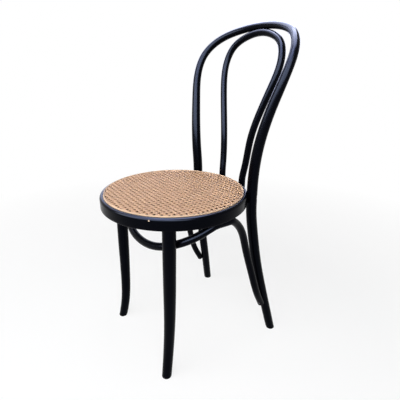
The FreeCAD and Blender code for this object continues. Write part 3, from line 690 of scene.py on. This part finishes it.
class Nodes:
    """A short way to write the node tree of a material or of the world."""

    def __init__(self, owner):
        owner.use_nodes = True
        self.owner = owner
        self.tree = owner.node_tree

    def add(self, kind, inputs=None, **settings):
        node = self.tree.nodes.new(kind)
        for key, value in settings.items():
            setattr(node, key, value)
        for key, value in (inputs or {}).items():
            self.put(node, key, value)
        return node

    def put(self, node, key, value):
        if isinstance(value, bpy.types.NodeSocket):
            self.tree.links.new(value, node.inputs[key])
        else:
            node.inputs[key].default_value = value

    def attribute(self, name):
        return self.add("ShaderNodeAttribute", attribute_name=name).outputs

    def place(self):
        return self.add("ShaderNodeTexCoord").outputs["Object"]

    def vector_math(self, operation, *values):
        return self.add("ShaderNodeVectorMath", dict(enumerate(values)), operation=operation).outputs

    def math(self, operation, *values):
        return self.add("ShaderNodeMath", dict(enumerate(values)), operation=operation).outputs["Value"]

    def noise(self, vector, scale=1, detail=2, stretch=None):
        """Noise over a vector, whose axes may be stretched first by a factor each."""
        if stretch:
            vector = self.vector_math("MULTIPLY", vector, stretch)["Vector"]
        inputs = {"Vector": vector, "Scale": scale, "Detail": detail}
        return self.add("ShaderNodeTexNoise", inputs).outputs["Fac"]

    def ramp(self, value, *stops):
        """Map a value through stops of place and colour or grey."""
        node = self.add("ShaderNodeValToRGB", {"Fac": value})
        for element, (place, colour) in zip(node.color_ramp.elements, stops):
            element.position = place
            element.color = (*colour, 1) if isinstance(colour, tuple) else (colour, colour, colour, 1)
        return node.outputs["Color"]

    def spread(self, value, low=0.0, high=1.0, start=0.0, end=1.0):
        """Map a value between start and end to one between low and high."""
        inputs = {"Value": value, "From Min": start, "From Max": end, "To Min": low, "To Max": high}
        return self.add("ShaderNodeMapRange", inputs).outputs["Result"]

    def mix(self, share, first, second, blend="MIX"):
        inputs = {0: share, 6: first, 7: second}
        return self.add("ShaderNodeMix", inputs, data_type="RGBA", blend_type=blend).outputs[2]

    def mix_values(self, share, first, second):
        return self.add("ShaderNodeMix", {0: share, 2: first, 3: second}).outputs[0]

    def bump(self, height, distance, strength, normal=None):
        node = self.add("ShaderNodeBump", {"Height": height, "Distance": distance, "Strength": strength})
        if normal is not None:
            self.put(node, "Normal", normal)
        return node.outputs["Normal"]

    def seen_rays(self):
        """A value of 1 for rays of the camera, reflections and glass."""
        path = self.add("ShaderNodeLightPath").outputs
        seen = self.math("MAXIMUM", path["Is Camera Ray"], path["Is Glossy Ray"])
        return self.math("MAXIMUM", seen, path["Is Transmission Ray"])

    def finish(self, **inputs):
        """Set the shader's inputs and give the material."""
        for key, value in inputs.items():
            self.put(self.tree.nodes["Principled BSDF"], key.replace("_", " "), value)
        return self.owner


def lacquer(name, chip=None):
    """Black lacquer over beech: open pores along the grain, a soft orange peel, and perhaps a chip."""
    nodes = Nodes(bpy.data.materials.new(name))
    grain = nodes.attribute("grain")["Vector"]
    place = nodes.place()
    pores = nodes.noise(grain, stretch=(1600, 1600, 60))
    peel = nodes.noise(place, scale=240, detail=1)
    cloud = nodes.noise(place, scale=14, detail=3)
    colour = nodes.ramp(cloud, (0.3, LACQUER_DARK), (0.7, LACQUER_LIGHT))
    roughness = nodes.spread(cloud, low=0.18, high=0.25)
    if chip:
        ragged = nodes.noise(place, scale=700)
        distance = nodes.vector_math("DISTANCE", place, chip)["Value"]
        distance = nodes.math("MULTIPLY_ADD", ragged, -CHIP_REACH, distance)
        bare = nodes.spread(distance, start=CHIP_BORDER, end=0.0)
        streaks = nodes.noise(grain, stretch=(3000, 3000, 200))
        wood = nodes.ramp(streaks, (0.3, WOOD_DARK), (0.7, WOOD_LIGHT))
        colour = nodes.mix(bare, colour, wood)
        roughness = nodes.mix_values(bare, roughness, WOOD_ROUGHNESS)
    normal = nodes.bump(peel, distance=0.00006, strength=0.04)
    pore_mask = nodes.ramp(pores, (0.36, 0.0), (0.46, 1.0))
    normal = nodes.bump(pore_mask, distance=0.00002, strength=0.06, normal=normal)
    return nodes.finish(
        Base_Color=colour,
        Roughness=roughness,
        Specular_IOR_Level=0.045,
        Specular_Tint=LACQUER_GLOSS,
        Normal=normal,
    )


def cane_finish(name, attribute, light, dark, woven=False):
    """Natural cane or reed: long fibres, uneven tone and next to no gloss. Woven cane adds darker lower
    flanks, partly its cut side and partly painted shade, and painted shade in its holes.
    """
    nodes = Nodes(bpy.data.materials.new(name))
    vector = nodes.attribute(attribute)["Vector"]
    fibres = nodes.noise(vector, stretch=(5200, 1500, 110))
    blotches = nodes.noise(vector, stretch=(140, 140, 28))
    cloud = nodes.noise(nodes.place(), scale=16)
    base = nodes.ramp(blotches, (0.3, dark), (0.7, light))
    base = nodes.mix(0.35, base, nodes.ramp(cloud, (0.35, dark), (0.65, light)))
    if woven:
        height = nodes.add("ShaderNodeSeparateXYZ", {"Vector": vector}).outputs["Y"]
        # Darker lower flanks: partly the cut side of the cane, partly painted shade from the strands
        # around.
        base = nodes.mix(nodes.spread(height, start=-0.0004, end=0.0005), CANE_FLANK_AND_SHADE, base)
        # Painted shade: flanks that line a hole turn near-black.
        base = nodes.mix(nodes.attribute("hole")["Fac"], base, CANE_HOLE_SHADE)
        shade = nodes.spread(nodes.attribute("tone")["Fac"], low=0.84, high=1.08)
        base = nodes.mix(1.0, base, shade, "MULTIPLY")
    streaks = nodes.ramp(fibres, (0.35, FIBRE_GAP), (0.6, 1.0))
    return nodes.finish(
        Base_Color=nodes.mix(0.4, base, streaks, "MULTIPLY"),
        Roughness=nodes.spread(fibres, low=0.58, high=0.46),
        Specular_IOR_Level=0.03,
        Normal=nodes.bump(fibres, distance=0.00008, strength=0.5),
    )


def steel(name, colour, metallic):
    """Screw metal with a fine unevenness and slight staining."""
    nodes = Nodes(bpy.data.materials.new(name))
    stain = nodes.noise(nodes.place(), scale=180, detail=3)
    fine = nodes.noise(nodes.place(), scale=2200)
    darker = tuple(part * STAIN_SHADE for part in colour)
    return nodes.finish(
        Base_Color=nodes.ramp(stain, (0.35, darker), (0.65, colour)),
        Metallic=metallic,
        Roughness=nodes.spread(stain, low=0.47, high=0.3),
        Normal=nodes.bump(fine, distance=0.00004, strength=0.4),
    )


def floor_material():
    """White to the camera and to reflections, with a part that takes the chair's shadow."""
    nodes = Nodes(bpy.data.materials.new("studio_floor"))
    diffuse = nodes.add("ShaderNodeBsdfDiffuse", {"Color": FLOOR_GREY}).outputs["BSDF"]
    glow = nodes.add("ShaderNodeEmission", {"Color": WHITE, "Strength": 1.0}).outputs["Emission"]
    reach = nodes.vector_math("LENGTH", nodes.place())["Value"]
    fade = nodes.spread(reach, low=GLOW_PART, high=1.0, start=GLOW_FROM, end=GLOW_ALONE_FROM)
    share = nodes.math("MULTIPLY", nodes.seen_rays(), fade)
    mix = nodes.add("ShaderNodeMixShader", {"Fac": share, 1: diffuse, 2: glow}).outputs["Shader"]
    nodes.put(nodes.tree.nodes["Material Output"], "Surface", mix)
    nodes.tree.nodes.remove(nodes.tree.nodes["Principled BSDF"])
    return nodes.owner


black = lacquer("black_lacquer")
chipped_black = lacquer("black_lacquer_chipped", chip=CHIP_PLACE)
cane = cane_finish("cane", "strand", CANE_LIGHT, CANE_DARK, woven=True)
reed = cane_finish("reed", "grain", REED_LIGHT, REED_DARK)
black_steel = steel("black_steel", BLACK_STEEL, 0.0)
bare_steel = steel("bare_steel", BARE_STEEL, 1.0)


# The chair

frame_half = join(
    CentreLine(REAR_LEG, first_way(REAR_LEG), UP).sample(THICK_STEP),
    straight(REAR_LEG[-1], BOW[0]),
    CentreLine(BOW, UP, ACROSS).sample(THICK_STEP),
)
back_frame = rod("back_frame_rod", mirrored(frame_half), black, FOOT_ROUND, FOOT_ROUND, level=True)
hoop_half = join(straight(HOOP_END, HOOP[0]), CentreLine(HOOP, UP, ACROSS).sample(THIN_STEP))
inner_hoop = rod("inner_hoop_rod", mirrored(hoop_half), black, HOOP_END_ROUND, HOOP_END_ROUND)
brace_way = first_way(BRACE_RISE)
brace_tip = np.array(BRACE_RISE[0]) - np.append(brace_way * BRACE_RADIUS, 0)
brace_half = join(
    straight(brace_tip, BRACE_RISE[0]),
    CentreLine(BRACE_RISE, brace_way, FORWARD).sample(THIN_STEP),
    straight(BRACE_RISE[-1], BRACE_FALL[0]),
    CentreLine(BRACE_FALL, FORWARD, ACROSS).sample(THIN_STEP),
)
leg_brace = rod("leg_brace_rod", mirrored(brace_half), black, BRACE_END_ROUND, BRACE_END_ROUND)

bore_both(back_frame, head_place(*BOLT, REAR_LEG[-1][3], BOLT_SINK), BOLT[1], *BOLT_ROOM)
bore_both(inner_hoop, head_place(*HOOP_SCREW, HOOP_END[3], SCREW_SINK), HOOP_SCREW[1], *SCREW_ROOM)
bore(inner_hoop, head_place(*TOP_SCREW, HOOP[-1][3], SCREW_SINK), TOP_SCREW[1], *SCREW_ROOM)
for screw in (REAR_SCREW, LEG_SCREW, SEAT_SCREW):
    bore_both(leg_brace, head_place(*screw, BRACE_RADIUS, SCREW_SINK), screw[1], *SCREW_ROOM)

stands_for(back_frame, "black_lacquer", "back_frame")
stands_for(inner_hoop, "black_lacquer", "inner_hoop")
stands_for(leg_brace, "black_lacquer", "leg_brace")

for side, sign in (("left", 1), ("right", -1)):
    leg_top = unit(np.subtract(FRONT_LEG[-1], FRONT_LEG[-2])[:3])
    samples = CentreLine(FRONT_LEG, first_way(FRONT_LEG), leg_top).sample(THICK_STEP)
    samples[:, 0] *= sign
    ends = (FOOT_ROUND, LEG_TOP_ROUND)
    leg = rod(f"front_leg_{side}_rod", samples, black, *ends, level=True, around=LEG_SIDES)
    stands_for(leg, "black_lacquer", f"front_leg_{side}")

ring = lathe("seat_ring_wood", ring_profile(), chipped_black, full_turn(RING_SIDES))
stands_for(ring, "black_lacquer", "seat_ring")
seam_to_seam = np.radians(np.linspace(REED_SEAM_DEGREES, 360 - REED_SEAM_DEGREES, REED_SIDES))
bead = lathe("cane_reed", reed_profile(), reed, seam_to_seam, closed=False, wobble=reed_wobble)
stands_for(bead, "reed", "cane_spline")
weave = make_cane(cane)
stands_for(weave, "cane", "cane_panel")

for node, material in {
    "frame_bolts": black_steel,
    "frame_nuts": bare_steel,
    "hoop_end_screws": black_steel,
    "hoop_top_screw": black_steel,
    "brace_rear_screws": black_steel,
    "brace_seat_screws": black_steel,
    "brace_front_screws": black_steel,
}.items():
    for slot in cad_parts[node].material_slots:
        slot.material = material


# Stage


def stage_piece(name, corners, material):
    mesh = bpy.data.meshes.new(name)
    mesh.from_pydata(corners, [], [tuple(range(len(corners)))])
    mesh.materials.append(material)
    piece = bpy.data.objects.new(name, mesh)
    bpy.context.scene.collection.objects.link(piece)


signs = [(-1, -1), (1, -1), (1, 1), (-1, 1)]
corners = [(x * FLOOR_REACH, y * FLOOR_REACH, -FLOOR_DROP) for x, y in signs]
stage_piece("studio_floor", corners, floor_material())

world = bpy.data.worlds.new("studio")
bpy.context.scene.world = world
sky = Nodes(world)
sky.put(sky.tree.nodes["Background"], "Color", sky.mix(sky.seen_rays(), WORLD_GREY, WHITE))


def softbox(name, azimuth, elevation, distance, width, height, radiance, colour):
    """A rectangular lamp of that brightness around the chair, facing its middle."""
    light = bpy.data.lights.new(name, "AREA")
    light.shape = "RECTANGLE"
    light.size = width
    light.size_y = height
    light.energy = radiance * math.pi * width * height
    light.color = colour
    lamp = bpy.data.objects.new(name, light)
    lamp.visible_camera = False
    turn = math.radians(azimuth)
    lift = math.radians(elevation)
    way = Vector((math.cos(lift) * math.cos(turn), math.cos(lift) * math.sin(turn), math.sin(lift)))
    lamp.location = Vector(LAMP_CENTRE) + way * distance
    lamp.rotation_euler = way.to_track_quat("Z", "Y").to_euler()
    bpy.context.scene.collection.objects.link(lamp)
    return lamp


def reflector(*choices, **named_choices):
    """A card that shows in gloss alone and adds no light of its own to a colour."""
    softbox(*choices, **named_choices).visible_diffuse = False


for number, azimuth in enumerate(FRONT_AZIMUTHS):
    softbox(f"front_{number}", azimuth, elevation=30, distance=2.4, width=1.12, height=1.35,
            radiance=4.8, colour=SOFT_LIGHT)
    reflector(f"front_card_{number}", azimuth, elevation=28, distance=2.3, width=1.08, height=1.5,
              radiance=26, colour=FRONT_CARD_LIGHT)
softbox("overhead", azimuth=0, elevation=84, distance=2.0, width=0.5, height=0.4,
        radiance=9, colour=SOFT_LIGHT)
reflector("top_card", azimuth=-33, elevation=96, distance=2.2, width=1.8, height=2.0,
          radiance=56, colour=HIGH_CARD_LIGHT)
reflector("high_card", azimuth=-80, elevation=60, distance=2.2, width=2.2, height=0.9,
          radiance=46, colour=HIGH_CARD_LIGHT)
reflector("high_back_card", azimuth=160, elevation=48, distance=2.4, width=3.4, height=1.1,
          radiance=16, colour=HIGH_BACK_CARD_LIGHT)
reflector("back_card", azimuth=147, elevation=20, distance=2.6, width=4.4, height=1.2,
          radiance=4.5, colour=BACK_CARD_LIGHT)

# Camera

camera_data = bpy.data.cameras.new("camera")
camera_data.sensor_width = CAMERA_FILM
camera_data.lens = CAMERA_LENS
camera_data.shift_x, camera_data.shift_y = CAMERA_SHIFT
camera_data.clip_start = CAMERA_CLIP
camera = bpy.data.objects.new("camera", camera_data)
camera_turn = Euler([math.radians(angle) for angle in CAMERA_TURN])
camera.matrix_world = Matrix.LocRotScale(Vector(CAMERA_PLACE), camera_turn, None)
bpy.context.scene.collection.objects.link(camera)
bpy.context.scene.camera = camera
bpy.context.scene.view_settings.view_transform = "Standard"
